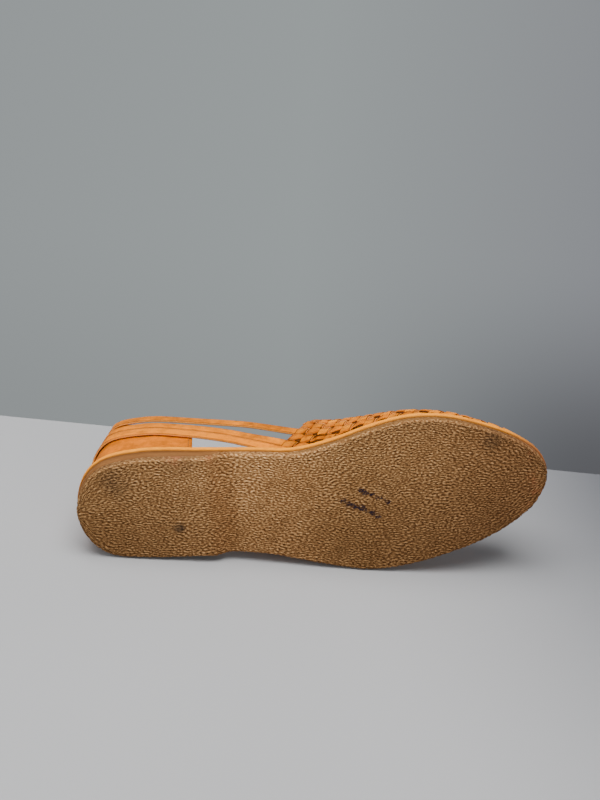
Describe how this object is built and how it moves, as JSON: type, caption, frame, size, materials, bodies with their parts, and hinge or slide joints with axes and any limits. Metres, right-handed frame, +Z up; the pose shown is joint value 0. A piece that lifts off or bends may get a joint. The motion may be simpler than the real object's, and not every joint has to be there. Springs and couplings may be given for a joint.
{
  "type": "huarache sandal",
  "caption": "Left woven leather huarache with a crepe outsole, heel wedge, pale leather midsole, closed woven vamp and side straps round a heel counter, lying on its lateral side.",
  "frame": {"origin": "bottom centre of the bounding box, on the floor that the shoe lies on", "axes": "+X towards the toe, -Y the way the sole faces, +Z up, which is the shoe's medial side"},
  "size_m": [0.2816, 0.0706, 0.1065],
  "materials": {
    "crepe": "matt brown crepe rubber",
    "lift": "smooth brown",
    "midsole": "pale vegetable-tanned, cut edge",
    "insole": "smooth tan",
    "strap": "tan, satin",
    "counter": "tan, satin"
  },
  "bodies": {
    "root": {"outsole": "crepe", "heel_lift": "lift", "midsole": "midsole", "insole": "insole", "upper": "strap", "heel_counter": "counter"}
  },
  "joints": []
}
